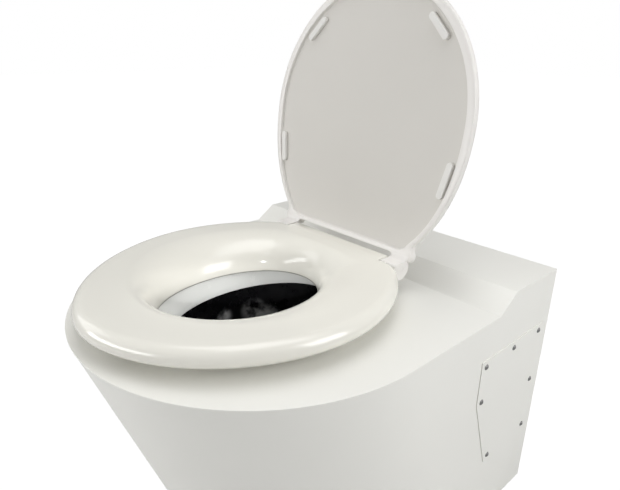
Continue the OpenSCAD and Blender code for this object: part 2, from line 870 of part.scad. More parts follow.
// Plugs that close the ears' bores, level with their ends
module hinge_caps() {
    color("#f1efeb") at_lid() mirrored() translate([ear_out - cap_t + seat_gap, 0, 0])
        rotate([0, 90, 0]) cylinder(r = rod_d/2, h = cap_t - seat_gap);
}

deck();
skirt();
back_plate();
base_frame();
support_legs();
deck_rail(true);  // deck_rail_left
deck_rail(false);  // deck_rail_right
rim_collar();
rim_box();
bowl();
trap_bend();
trap_outlet();
outlet_spigot();
outlet_seal();
flush_pipe();
flush_seal();
access_panel(true);  // access_panel_left
access_panel(false);  // access_panel_right
panel_screws(true);  // panel_screws_left
panel_screws(false);  // panel_screws_right
panel_inserts(true);  // panel_inserts_left
panel_inserts(false);  // panel_inserts_right
hinge_post(true);  // hinge_post_left
hinge_post(false);  // hinge_post_right
hinge_rod();
hinge_bolts();
post_gaskets();
hinge_washers();
hinge_nuts();
hinge_backing_plates();
seat();
seat_bumpers();
lid();
lid_bumpers();
hinge_caps();
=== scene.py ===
"""Bariatric toilet: coated sheet-metal pan, moulded seat and lid, finishes, studio and camera."""

import json
import math

import bmesh
import bpy
from mathutils import Matrix, Vector

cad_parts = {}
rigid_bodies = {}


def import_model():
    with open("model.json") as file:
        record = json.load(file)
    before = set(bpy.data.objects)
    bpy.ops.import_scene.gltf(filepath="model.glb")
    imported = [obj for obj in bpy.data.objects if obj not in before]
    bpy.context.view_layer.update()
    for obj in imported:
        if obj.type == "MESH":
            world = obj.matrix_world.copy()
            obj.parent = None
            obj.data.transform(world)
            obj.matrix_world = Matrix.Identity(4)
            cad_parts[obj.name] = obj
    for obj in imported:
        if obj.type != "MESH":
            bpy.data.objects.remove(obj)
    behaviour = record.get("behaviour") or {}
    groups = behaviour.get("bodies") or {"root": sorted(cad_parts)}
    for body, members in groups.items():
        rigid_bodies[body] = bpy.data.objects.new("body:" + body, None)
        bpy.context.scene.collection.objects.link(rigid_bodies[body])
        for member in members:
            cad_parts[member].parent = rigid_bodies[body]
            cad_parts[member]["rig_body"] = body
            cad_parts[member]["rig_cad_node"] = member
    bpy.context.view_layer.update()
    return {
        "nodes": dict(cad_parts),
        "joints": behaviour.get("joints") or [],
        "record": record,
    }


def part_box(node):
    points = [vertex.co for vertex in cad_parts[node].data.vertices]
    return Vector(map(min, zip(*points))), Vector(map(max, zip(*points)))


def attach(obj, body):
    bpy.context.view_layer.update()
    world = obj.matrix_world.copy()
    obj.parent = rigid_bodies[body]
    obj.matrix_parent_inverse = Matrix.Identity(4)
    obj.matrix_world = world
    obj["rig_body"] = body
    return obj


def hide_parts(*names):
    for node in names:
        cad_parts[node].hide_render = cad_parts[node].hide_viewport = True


bl_info = {
    "name": "Bariatric toilet",
    "version": (1, 0, 0),
    "blender": (4, 5, 0),
    "location": "View3D > Sidebar > Toilet",
    "description": "Models and finishes the visible pieces of a bariatric toilet around its frame",
    "category": "Object",
}

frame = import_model()
SLOTS = {part["node"]: part["material_slot"] for part in frame["record"]["subparts"]}

# Measures that several pieces share, in metres: the hinge's axis, the sheet's thickness, the
# deck's top, the lip round the seat's hole, the rear face, the radius of the holes for the
# hinge rod, and the room beside and round each of the lid's ears
HINGE = Vector(frame["joints"][0]["pos_m"])
SHEET = 0.002
DECK_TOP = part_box("rim_collar")[1].z + SHEET
SEAT_LIP = DECK_TOP - 0.006
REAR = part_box("skirt")[1].y
ROD_BORE = 0.00505
EAR_SIDE_ROOM = 0.0025
EAR_ROUND_ROOM = 0.0006

# Folds flatter than the first angle are shaded smooth, edges sharper than the second are
# rounded, and points closer than NEAR count as one place
SMOOTH_ANGLE = math.radians(32)
BEVEL_ANGLE = math.radians(40)
NEAR = 1e-5


# Sizes and colours


def length(name, description, default):
    return bpy.props.FloatProperty(
        name=name, description=description, default=default, unit="LENGTH", precision=4
    )


def colour(name, description, default):
    return bpy.props.FloatVectorProperty(
        name=name, description=description, default=default, subtype="COLOR", size=3, min=0, max=1
    )


class ToiletPan(bpy.types.PropertyGroup):
    """Sizes of the welded pan"""

    edge_radius: length("Edge radius", "Rounding of the deck's outer edge", 0.0018)
    fold_radius: length("Fold radius", "Inside radius of the folds at the rear ledge", 0.004)
    ledge_foot: length("Ledge foot", "Distance from the rear face to the foot of the slope", 0.175)
    ledge_top: length("Ledge top", "Depth of the flat top of the rear ledge", 0.134)
    opening_width: length("Opening width", "Width of the opening in the deck", 0.242)
    opening_length: length("Opening length", "Length of the opening in the deck", 0.334)
    opening_back: length(
        "Opening place", "Distance from the hinge forward to the opening's middle", 0.189
    )
    collar_depth: length("Collar depth", "Depth of the white collar under the deck", 0.043)
    collar_draft: length("Collar draft", "How far the collar narrows on its way down", 0.012)
    sheet: length("Sheet", "Thickness of the sheet metal", SHEET)


class ToiletSeat(bpy.types.PropertyGroup):
    """Sizes of the seat"""

    width: length("Width", "Width of the seat", 0.475)
    reach: length("Reach", "Distance from the hinge to the front edge", 0.457)
    wide_at: length("Widest place", "Distance from the hinge forward to the widest place", 0.198)
    hole_width: length("Hole width", "Width of the hole at its lip", 0.206)
    hole_length: length("Hole length", "Length of the hole at its lip", 0.274)
    hole_at: length("Hole place", "Distance from the hinge forward to the hole's middle", 0.210)
    rise: length("Rise", "Height of the seat's top over the deck", 0.051)
    edge: length("Edge depth", "Depth of the outer edge", 0.030)
    edge_radius: length("Edge radius", "Rounding of the outer edge", 0.017)
    tongue: length("Tongue width", "Width of the tongue between the lid's ears", 0.232)


class ToiletLid(bpy.types.PropertyGroup):
    """Sizes of the lid"""

    width: length("Width", "Width of the lid", 0.442)
    reach: length("Reach", "Distance from the hinge to the far edge", 0.455)
    wide_at: length("Widest place", "Distance from the hinge to the widest place", 0.226)
    rim: length("Rim", "Width of the raised rim round the underside", 0.013)
    recess: length("Recess", "Depth of the underside inside the rim", 0.006)
    thickness: length("Thickness", "Thickness of the lid at its edge", 0.016)
    ear_radius: length("Ear radius", "Radius of the ears round the hinge", 0.018)
    ear_length: length("Ear length", "Length of each ear", 0.033)
    gap: length("Slot edge", "Distance from the hinge to the edge behind the seat's tongue", 0.019)
    opened: bpy.props.FloatProperty(
        name="Opened", description="Angle between the closed and the open lid",
        default=math.radians(99), subtype="ANGLE",
    )


class ToiletColours(bpy.types.PropertyGroup):
    """Colours of the finishes"""

    body: colour("Powder coat", "Warm white coat on the pan", (0.865, 0.86, 0.815))
    collar: colour("Collar", "Cool white coat inside the opening", (0.875, 0.885, 0.86))
    bowl: colour("Bowl", "Black coat of the bowl", (0.006, 0.006, 0.007))
    seat: colour("Seat", "Ivory plastic of the seat", (0.835, 0.82, 0.752))
    lid: colour("Lid", "Plastic of the lid's rim, ears and back", (0.83, 0.81, 0.78))
    recess: colour("Recess", "Duller plastic inside the lid's rim", (0.67, 0.65, 0.61))
    pads: colour("Pads", "Soft pads under the seat and the lid", (0.80, 0.79, 0.76))
    steel: colour("Steel", "Bare steel of the frame", (0.42, 0.425, 0.43))
    bright_steel: colour("Bright steel", "Stainless pipes and fixings", (0.52, 0.52, 0.51))
    rubber: colour("Rubber", "Seals and gaskets", (0.02, 0.02, 0.021))


class ToiletStudio(bpy.types.PropertyGroup):
    """Camera and lights"""

    place: bpy.props.FloatVectorProperty(
        name="Camera place", description="Where the camera stands", size=3, subtype="TRANSLATION",
        default=(0.624565, -0.500181, 0.797868),
    )
    turn: bpy.props.FloatVectorProperty(
        name="Camera turn", description="How the camera is turned", size=3, subtype="EULER",
        default=(math.radians(68.8034), math.radians(-0.3069), math.radians(48.3684)),
    )
    lens: bpy.props.FloatProperty(
        name="Lens", description="Focal length in millimetres on a 36 mm sensor", default=30.06
    )
    sky: bpy.props.FloatProperty(
        name="Sky", description="Strength of the even light from all round", default=0.383
    )
    shade: bpy.props.FloatProperty(
        name="Shade", description="How much darker the even light is at the front right",
        default=0.53,
    )


def settings(group):
    return getattr(bpy.context.scene, "toilet_" + group)


# Shader maths


class Signal:
    """An output of a node that takes sums with numbers and other signals"""

    def __init__(self, nodes, socket):
        self.nodes = nodes
        self.socket = socket

    def combine(self, operation, first, second):
        return self.nodes.node("ShaderNodeMath", {"operation": operation}, {0: first, 1: second})

    def __add__(self, other):
        return self.combine("ADD", self, other)

    def __radd__(self, other):
        return self.combine("ADD", other, self)

    def __sub__(self, other):
        return self.combine("SUBTRACT", self, other)

    def __rsub__(self, other):
        return self.combine("SUBTRACT", other, self)

    def __mul__(self, other):
        return self.combine("MULTIPLY", self, other)

    def __rmul__(self, other):
        return self.combine("MULTIPLY", other, self)


class Nodes:
    """The nodes of a material or of the world"""

    def __init__(self, owner):
        owner.use_nodes = True
        self.tree = owner.node_tree

    def node(self, kind, options, inputs, output=0):
        """Makes a node, sets its options, then feeds its sockets, and gives one output"""
        made = self.tree.nodes.new(kind)
        for option, value in options.items():
            setattr(made, option, value)
        for place, value in inputs.items():
            self.feed(made.inputs[place], value)
        return Signal(self, made.outputs[output])

    def feed(self, socket, value):
        if isinstance(value, Signal):
            self.tree.links.new(value.socket, socket)
        elif isinstance(value, (int, float)):
            socket.default_value = value
        else:
            values = list(value)
            socket.default_value = values + [1] * (len(socket.default_value) - len(values))

    def step(self, value, low, high):
        """0 below low, 1 above high and smooth between them"""
        inputs = {"Value": value, "From Min": low, "From Max": high}
        return self.node("ShaderNodeMapRange", {"interpolation_type": "SMOOTHSTEP"}, inputs)


class Finish(Nodes):
    """A new material built from a Principled shader"""

    def __init__(self, name, **constants):
        self.material = bpy.data.materials.new(name)
        super().__init__(self.material)
        self.shader = self.tree.nodes["Principled BSDF"]
        for socket, value in constants.items():
            self.feed(self.shader.inputs[socket.replace("_", " ")], value)

    def place(self, stretch=(1, 1, 1)):
        spot = self.node("ShaderNodeTexCoord", {}, {}, "Object")
        return self.node("ShaderNodeMapping", {}, {"Vector": spot, "Scale": stretch})

    def height(self, spot):
        return self.node("ShaderNodeSeparateXYZ", {}, {"Vector": spot}, "Z")

    def distance(self, spot, place):
        options = {"operation": "DISTANCE"}
        return self.node("ShaderNodeVectorMath", options, {0: spot, 1: place}, "Value")

    def noise(self, spot, scale, detail=2.0, roughness=0.5):
        inputs = {"Vector": spot, "Scale": scale, "Detail": detail, "Roughness": roughness}
        return self.node("ShaderNodeTexNoise", {}, inputs)

    def mix(self, share, first, second):
        options = {"data_type": "RGBA"}
        return self.node("ShaderNodeMix", options, {0: share, 6: first, 7: second}, 2)

    def bump(self, height, strength, distance):
        inputs = {"Height": height, "Strength": strength, "Distance": distance}
        self.feed(self.shader.inputs["Normal"], self.node("ShaderNodeBump", {}, inputs))

    def base(self, value):
        self.feed(self.shader.inputs["Base Color"], value)

    def rough(self, value):
        self.feed(self.shader.inputs["Roughness"], value)


def tinted(shade, factor):
    return [min(1.0, channel * factor) for channel in shade]


def powder_coat(name, shade, roughness, peel):
    """Baked coat with a faint orange peel, slow changes of tone and rubbed patches"""
    finish = Finish(name, Coat_Weight=0.15, Coat_Roughness=0.35, IOR=1.45)
    spot = finish.place()
    cloud = finish.noise(spot, 3.5, 3)
    rubbed = finish.step(finish.noise(spot, 26, 5, 0.6), 0.52, 0.75)
    grain = finish.noise(spot, 420, 2)
    finish.base(finish.mix(cloud, tinted(shade, 0.965), tinted(shade, 1.03)))
    finish.rough(roughness + cloud * 0.08 + rubbed * 0.05 + grain * 0.04)
    finish.bump(grain + finish.noise(spot, 60, 1) * 0.6, peel, 0.0004)
    return finish.material


# Painted shadow along the seat's lip: the heights over the lip where it starts to fade and ends
LIP_SHADOW_HEIGHTS = (0.0016, 0.0032)
# Dark colour of the painted shadow in the gap under the lip
LIP_SHADOW_COLOUR = (0.16, 0.15, 0.13)


def moulded_plastic(name, shade, roughness, coat):
    """Glossy moulded plastic: slight flow waves, haze, fine scratches, painted shadow along its
    lip
    """
    finish = Finish(name, Coat_Weight=coat, Coat_Roughness=0.06, IOR=1.5)
    spot = finish.place()
    cloud = finish.noise(spot, 6, 3)
    haze = finish.step(finish.noise(spot, 38, 6, 0.65), 0.5, 0.8)
    scratch = finish.step(finish.noise(finish.place((1, 14, 1)), 90, 4, 0.7), 0.66, 0.74)
    # Painted shadow: below a thin band over the lip the colour darkens and the roughness rises
    lip_shadow = 1 - finish.step(finish.height(spot), *(SEAT_LIP + rise for rise in LIP_SHADOW_HEIGHTS))
    clean = finish.mix(cloud, tinted(shade, 0.985), tinted(shade, 1.015))
    finish.base(finish.mix(lip_shadow * 0.75, clean, LIP_SHADOW_COLOUR))
    finish.rough(roughness + haze * 0.05 + scratch * 0.06 + lip_shadow * 0.3)
    finish.bump(finish.noise(spot, 14, 1), 0.10, 0.0012)
    return finish.material


def lid_plastic(name, rim, recess):
    """Plastic of the lid: glossy on its rim and back, dull and finely grained in the recess"""
    finish = Finish(name, Coat_Weight=0.1, Coat_Roughness=0.25, IOR=1.48)
    spot = finish.place()
    inner = finish.node("ShaderNodeAttribute", {"attribute_name": "recess"}, {}, "Fac")
    cloud = finish.noise(spot, 4, 3)
    grain = finish.noise(spot, 900, 2)
    dull = finish.mix(cloud, tinted(recess, 0.96), tinted(recess, 1.04))
    finish.base(finish.mix(inner, rim, dull))
    finish.rough(0.30 + inner * 0.24 + cloud * 0.05 + grain * inner * 0.06)
    finish.bump(grain * inner + finish.noise(spot, 16, 1), 0.08, 0.0008)
    return finish.material


# Places of painted grey reflections on the bowl's wall, and how far each patch reaches
REFLECTION_PATCHES = (
    ((-0.133, -0.041, 0.313), 0.019),
    ((-0.118, 0.016, 0.311), 0.030),
    ((-0.106, 0.042, 0.302), 0.024),
)
# Grey of the painted reflections
REFLECTION_GREY = (0.62, 0.62, 0.63)


def black_coat(name, shade):
    """Glossy black coat with cloudy painted grey reflections, low down and in patches on its wall
    """
    finish = Finish(name, IOR=1.5)
    spot = finish.place()
    # Blotches that shape the painted reflections and also vary the roughness everywhere
    reflection_and_roughness_blotch = finish.step(finish.noise(spot, 34, 3, 0.5), 0.34, 0.64)
    # Painted reflections: grey blotches low down in the bowl and round each listed patch
    painted_reflection_cover = (1 - finish.step(finish.height(spot), 0.14, 0.26)) * 0.12
    for place, reach in REFLECTION_PATCHES:
        painted_reflection_cover = painted_reflection_cover + (1 - finish.step(finish.distance(spot, place), 0.25 * reach, reach))
    finish.base(finish.mix(reflection_and_roughness_blotch * painted_reflection_cover, shade, REFLECTION_GREY))
    finish.rough(0.16 + reflection_and_roughness_blotch * 0.2 + finish.noise(spot, 90, 2) * 0.05)
    finish.bump(finish.noise(spot, 22, 2), 0.12, 0.001)
    return finish.material


def brushed_steel(name, shade, stretch, roughness):
    """Steel with drawn or brushed streaks along one direction and dull spots"""
    finish = Finish(name, Metallic=1.0)
    streak = finish.noise(finish.place(stretch), 60, 4, 0.7)
    spots = finish.noise(finish.place(), 14, 4)
    finish.base(finish.mix(spots, tinted(shade, 0.88), tinted(shade, 1.1)))
    finish.rough(roughness + streak * 0.18 + spots * 0.08)
    finish.bump(streak, 0.12, 0.0003)
    return finish.material


def matt_rubber(name, shade):
    """Matt rubber with a fine grain and pale dust"""
    finish = Finish(name, IOR=1.5)
    spot = finish.place()
    dust = finish.step(finish.noise(spot, 30, 5, 0.65), 0.5, 0.85)
    finish.base(finish.mix(dust, shade, tinted(shade, 2.2)))
    finish.rough(0.68 + dust * 0.14)
    finish.bump(finish.noise(spot, 700, 2), 0.2, 0.0003)
    return finish.material


def soft_pad(name, shade):
    """Satin pad plastic with a fine grain"""
    finish = Finish(name, IOR=1.48)
    spot = finish.place()
    cloud = finish.noise(spot, 12, 3)
    finish.base(finish.mix(cloud, tinted(shade, 0.97), tinted(shade, 1.02)))
    finish.rough(0.42 + cloud * 0.1)
    finish.bump(finish.noise(spot, 600, 2), 0.1, 0.0003)
    return finish.material


FINISHES = {}


def make_finishes():
    tone = settings("colours")
    FINISHES.update(
        body_white=powder_coat("powder_coat_white", tone.body, 0.34, 0.10),
        collar_white=powder_coat("collar_coat_white", tone.collar, 0.20, 0.05),
        bowl_black=black_coat("bowl_coat_black", tone.bowl),
        frame_steel=brushed_steel("frame_steel_mill", tone.steel, (2, 2, 14), 0.36),
        pipe_steel=brushed_steel("pipe_steel_brushed", tone.bright_steel, (9, 1, 9), 0.24),
        fixing_steel=brushed_steel(
            "fixing_steel_plated", tinted(tone.bright_steel, 0.5), (6, 6, 6), 0.34
        ),
        black_rubber=matt_rubber("seal_rubber_black", tone.rubber),
        seat_plastic=moulded_plastic("seat_plastic_ivory", tone.seat, 0.16, 0.35),
        lid_plastic=lid_plastic("lid_plastic_ivory", tone.lid, tone.recess),
        bumper_plastic=soft_pad("pad_plastic_white", tone.pads),
    )


# Modelling helpers


def alone(ob):
    """Selects ob and nothing else"""
    bpy.ops.object.select_all(action="DESELECT")
    ob.select_set(True)
    bpy.context.view_layer.objects.active = ob


def edit_all(ob):
    alone(ob)
    bpy.ops.object.mode_set(mode="EDIT")
    bpy.ops.mesh.select_all(action="SELECT")


def leave_edit():
    bpy.ops.object.mode_set(mode="OBJECT")


def settle(ob):
    """Moves an object's place, turn and size into its mesh"""
    alone(ob)
    bpy.ops.object.transform_apply(location=True, rotation=True, scale=True)


def finish_piece(ob, name, body, node):
    """Settles, shades, names and registers the finished piece that stands for a node"""
    settle(ob)
    bpy.ops.object.shade_smooth_by_angle(angle=SMOOTH_ANGLE)
    ob.name = ob.data.name = name
    slot = SLOTS[node]
    ob.data.materials.clear()
    ob.data.materials.append(FINISHES[slot])
    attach(ob, body)
    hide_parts(node)


def apply_modifier(ob, kind, **options):
    alone(ob)
    bpy.ops.object.modifier_add(type=kind)
    modifier = ob.modifiers[-1]
    for option, value in options.items():
        setattr(modifier, option, value)
    bpy.ops.object.modifier_apply(modifier=modifier.name)


def soften(ob, width, segments):
    """Rounds the edges sharper than BEVEL_ANGLE"""
    apply_modifier(
        ob, "BEVEL", width=width, segments=segments, limit_method="ANGLE",
        angle_limit=BEVEL_ANGLE, use_clamp_overlap=True,
    )


def carve(ob, tool, operation="DIFFERENCE", solver="EXACT"):
    """Cuts a tool from ob, or joins it on, and removes the tool"""
    apply_modifier(ob, "BOOLEAN", operation=operation, object=tool, solver=solver)
    bpy.data.objects.remove(tool)


def loft(rings, marks=None):
    """A circle extruded through rings of points, then merged where rings or points meet"""
    bpy.ops.object.select_all(action="DESELECT")
    bpy.ops.mesh.primitive_circle_add(vertices=len(rings[0]), radius=1)
    ob = bpy.context.object
    bpy.ops.object.mode_set(mode="EDIT")
    mesh = bmesh.from_edit_mesh(ob.data)
    mesh.verts.layers.int.new("turn")
    if marks:
        mesh.verts.layers.float.new("recess")
    turn = mesh.verts.layers.int["turn"]
    for number, vert in enumerate(mesh.verts):
        vert[turn] = number
    for step, ring in enumerate(rings):
        if step:
            bpy.ops.mesh.extrude_edges_move()
        mesh = bmesh.from_edit_mesh(ob.data)
        turn = mesh.verts.layers.int["turn"]
        mark = mesh.verts.layers.float.get("recess")
        for vert in mesh.verts:
            if vert.select:
                vert.co = ring[vert[turn]]
                if marks:
                    vert[mark] = marks[step]
        bmesh.update_edit_mesh(ob.data)
    bpy.ops.mesh.select_all(action="SELECT")
    bpy.ops.mesh.remove_doubles(threshold=1e-6)
    bpy.ops.mesh.normals_make_consistent(inside=False)
    leave_edit()
    ob.data.attributes.remove(ob.data.attributes["turn"])
    return ob


def bar(radius, start, end, y=0.0, z=0.0, sides=64):
    """A cylinder along X between two places"""
    bpy.ops.object.select_all(action="DESELECT")
    bpy.ops.mesh.primitive_cylinder_add(
        vertices=sides, radius=radius, depth=end - start,
        location=((start + end) / 2, y, z), rotation=(0, math.pi / 2, 0),
    )
    return bpy.context.object


def prism(outline, start, end):
    """A bar along X between two places, whose side view is the outline"""
    ob = loft([[Vector((x, *spot)) for spot in outline] for x in (start, end)])
    edit_all(ob)
    bpy.ops.mesh.fill_holes(sides=0)
    bpy.ops.mesh.normals_make_consistent(inside=False)
    leave_edit()
    return ob


def block(low, high):
    """A box between two corners"""
    low, high = Vector(low), Vector(high)
    bpy.ops.object.select_all(action="DESELECT")
    bpy.ops.mesh.primitive_cube_add(size=1, location=(low + high) / 2, scale=high - low)
    return bpy.context.object


def cad_copy(node):
    """A merged copy of a CAD node's mesh, with its flat triangles joined into faces"""
    alone(frame["nodes"][node])
    bpy.ops.object.duplicate()
    ob = bpy.context.object
    ob.parent = None
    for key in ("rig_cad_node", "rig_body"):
        del ob[key]
    if ob.data.has_custom_normals:
        bpy.ops.mesh.customdata_custom_splitnormals_clear()
    edit_all(ob)
    bpy.ops.mesh.remove_doubles(threshold=1e-6)
    bpy.ops.mesh.dissolve_limited(angle_limit=math.radians(0.3))
    leave_edit()
    return ob


def pick_edges(ob, wanted):
    """Enters edit mode with only the edges selected for which wanted(edge) is true"""
    edit_all(ob)
    bpy.ops.mesh.select_all(action="DESELECT")
    bpy.ops.mesh.select_mode(type="EDGE")
    mesh = bmesh.from_edit_mesh(ob.data)
    for edge in mesh.edges:
        if wanted(edge):
            edge.select_set(True)
    bmesh.update_edit_mesh(ob.data)


def bevel_edges(ob, wanted, radius, segments):
    """Rounds the edges for which wanted(edge) is true"""
    pick_edges(ob, wanted)
    bpy.ops.mesh.bevel(offset=radius, segments=segments, affect="EDGES", clamp_overlap=True)
    leave_edit()


def bezier(points, count):
    """Places along a cubic curve"""
    a, b, c, d = (Vector(point) for point in points)
    return [
        a * (1 - t) ** 3 + 3 * b * t * (1 - t) ** 2 + 3 * c * t * t * (1 - t) + d * t**3
        for t in (step / count for step in range(count + 1))
    ]


def oval_point(angle, half_width, front, rear, round_front=2.0, round_rear=2.0):
    """A place on an oval whose front and rear halves have their own length and roundness"""
    across, along = math.cos(angle), math.sin(angle)
    power = 2 / (round_front if along < 0 else round_rear)
    reach = front if along < 0 else rear
    return Vector((
        half_width * math.copysign(abs(across) ** power, across),
        reach * math.copysign(abs(along) ** power, along),
    ))


def turns(count):
    return [2 * math.pi * step / count for step in range(count)]


def part_way(value, start, span):
    """How far value is along a span, from 0 to 1"""
    return min(1, max(0, (value - start) / span))


# Pan


def deck_height(pan, y):
    """Height of the deck's top at the depth y"""
    foot, top = REAR - pan.ledge_foot, REAR - pan.ledge_top
    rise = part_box("deck")[1].z - DECK_TOP
    return DECK_TOP + rise * part_way(y, foot, top - foot)


class TOILET_OT_deck(bpy.types.Operator):
    """Round the edges and folds of the coated deck"""

    bl_idname = "toilet.deck"
    bl_label = "Deck"

    def execute(self, context):
        pan = settings("pan")
        ob = cad_copy("deck")

        def on_top(vert):
            return abs(vert.co.z - deck_height(pan, vert.co.y)) < NEAR

        def fold(edge):
            return (
                edge.is_manifold
                and math.radians(20) < edge.calc_face_angle() < math.radians(50)
                and abs(edge.verts[0].co.y - edge.verts[1].co.y) < NEAR
            )

        def outer_top(edge):
            sharp = edge.is_manifold and edge.calc_face_angle() > math.radians(60)
            return sharp and all(on_top(vert) for vert in edge.verts)

        bevel_edges(ob, outer_top, pan.edge_radius, 4)
        bevel_edges(ob, fold, pan.fold_radius, 5)
        finish_piece(ob, "coated_deck", "pan", "deck")
        return {"FINISHED"}


# Nodes that keep their CAD shape: the piece's name, and the rounding of its edges in metres
SOFTENED = {
    "skirt": ("coated_skirt", 0),
    "back_plate": ("coated_back_plate", 0.0005),
    "access_panel_left": ("side_panel_left", 0.0006),
    "access_panel_right": ("side_panel_right", 0.0006),
    "panel_screws_left": ("domed_screws_left", 0.0002),
    "panel_screws_right": ("domed_screws_right", 0.0002),
    "panel_inserts_left": ("threaded_inserts_left", 0.0002),
    "panel_inserts_right": ("threaded_inserts_right", 0.0002),
    "base_frame": ("floor_frame", 0.0006),
    "support_legs": ("square_legs", 0.0012),
    "deck_rail_left": ("channel_rail_left", 0.0008),
    "deck_rail_right": ("channel_rail_right", 0.0008),
    "rim_box": ("rim_wall", 0),
    "trap_bend": ("trap_lower_pipe", 0.0005),
    "trap_outlet": ("trap_upper_pipe", 0.0005),
    "outlet_spigot": ("waste_spigot", 0.0006),
    "outlet_seal": ("waste_seal", 0.0006),
    "flush_pipe": ("flush_tube", 0.0004),
    "flush_seal": ("flush_seal_ring", 0.0006),
    "hinge_post_left": ("post_left", 0.0008),
    "hinge_post_right": ("post_right", 0.0008),
    "hinge_rod": ("hinge_shaft", 0.0006),
    "hinge_bolts": ("post_bolts", 0.0004),
    "post_gaskets": ("post_gasket_pads", 0.0003),
    "hinge_washers": ("post_washers", 0.0002),
    "hinge_nuts": ("post_nuts", 0.0004),
    "hinge_backing_plates": ("backing_plates", 0.0005),
    "seat_bumpers": ("seat_feet", 0.0015),
    "hinge_caps": ("ear_plugs", 0.0003),
}


class TOILET_OT_fittings(bpy.types.Operator):
    """Smooth the walls, panels, frame, pipes and fixings and round their edges"""

    bl_idname = "toilet.fittings"
    bl_label = "Walls, frame and fittings"

    def execute(self, context):
        bodies = frame["record"]["behaviour"]["bodies"]
        for node, (name, rounding) in SOFTENED.items():
            ob = cad_copy(node)
            if rounding:
                soften(ob, rounding, 2)
            body = next(b for b, members in bodies.items() if node in members)
            finish_piece(ob, name, body, node)
            if rounding:
                apply_modifier(ob, "WEIGHTED_NORMAL", keep_sharp=True)
        return {"FINISHED"}


def opening_ring(pan, grow, back, z):
    """A ring of points round the deck's opening, grown and moved back"""
    middle = HINGE.y - pan.opening_back + back
    half_w, half_l = pan.opening_width / 2 + grow, pan.opening_length / 2 + grow
    return [
        Vector((half_w * math.cos(a), middle + half_l * math.sin(a), z)) for a in turns(144)
    ]


class TOILET_OT_collar(bpy.types.Operator):
    """Model the white collar with its rolled lower edge"""

    bl_idname = "toilet.collar"
    bl_label = "Collar"

    def execute(self, context):
        pan = settings("pan")
        top = DECK_TOP - pan.sheet
        low = top - pan.collar_depth
        lip = pan.sheet / 2
        wall = [
            (-pan.collar_draft * t, top - (pan.collar_depth - lip) * t)
            for t in (0, 0.25, 0.5, 0.75, 1)
        ]
        roll = [
            (lip - pan.collar_draft - lip * math.cos(a), low + lip - lip * math.sin(a))
            for a in (math.radians(d) for d in (30, 60, 90, 120, 150))
        ]
        outside = [(grow + pan.sheet, z) for grow, z in reversed(wall)]
        rings = [
            opening_ring(pan, grow, pan.collar_draft * (top - z) / pan.collar_depth, z)
            for grow, z in wall + roll + outside
        ]
        ob = loft(rings + rings[:1])
        finish_piece(ob, "white_collar", "pan", "rim_collar")
        return {"FINISHED"}


class TOILET_OT_bowl(bpy.types.Operator):
    """Model the black bowl as a smooth shell"""

    bl_idname = "toilet.bowl"
    bl_label = "Bowl"

    def execute(self, context):
        pan = settings("pan")
        low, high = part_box("bowl")
        pipe_low, pipe_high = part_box("trap_bend")
        wall = pan.sheet
        throat = (pipe_high.x - pipe_low.x) / 2 - wall
        rim_low, rim_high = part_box("rim_box")
        half_w = (rim_high.x - rim_low.x) / 2 - wall
        half_l = (rim_high.y - rim_low.y) / 2 - wall
        middle = (rim_low.y + rim_high.y) / 2
        outlet_y = pipe_low.y + throat + wall
        levels = 28

        def ring(t, grow, lift):
            swell = math.sin(math.pi / 2 * t)
            z = low.z + (high.z - low.z) * (1 - math.cos(math.pi / 2 * t)) + lift
            w = throat + (half_w - throat) * swell + grow
            d = throat + (half_l - throat) * swell + grow
            y = outlet_y + (middle - outlet_y) * swell
            return [Vector((w * math.cos(a), y + d * math.sin(a), z)) for a in turns(128)]

        outside = [ring(i / levels, wall, 0) for i in range(levels + 1)]
        inside = [
            ring(i / levels, 0, wall * math.cos(math.pi / 2 * i / levels))
            for i in range(levels, -1, -1)
        ]
        rings = outside + inside
        ob = loft(rings + rings[:1])
        finish_piece(ob, "black_bowl", "pan", "bowl")
        return {"FINISHED"}


# Seat

# How far the shoulders beside the tongue stand forward of the hinge, where each post is on
# either side of the middle, and the room cut out round it: half its width, and its corners'
# depth and height from the hinge
SHOULDER = 0.013
POST_PLACE = 0.070
POST_HALF_WIDTH = 0.0125
POST_CORNERS = ((-0.0072, -0.022), (0.0265, 0.0077))


def knuckle_height(seat):
    """Height of the seat's top, and of the lid's ears, over the hinge"""
    return DECK_TOP + seat.rise - HINGE.z


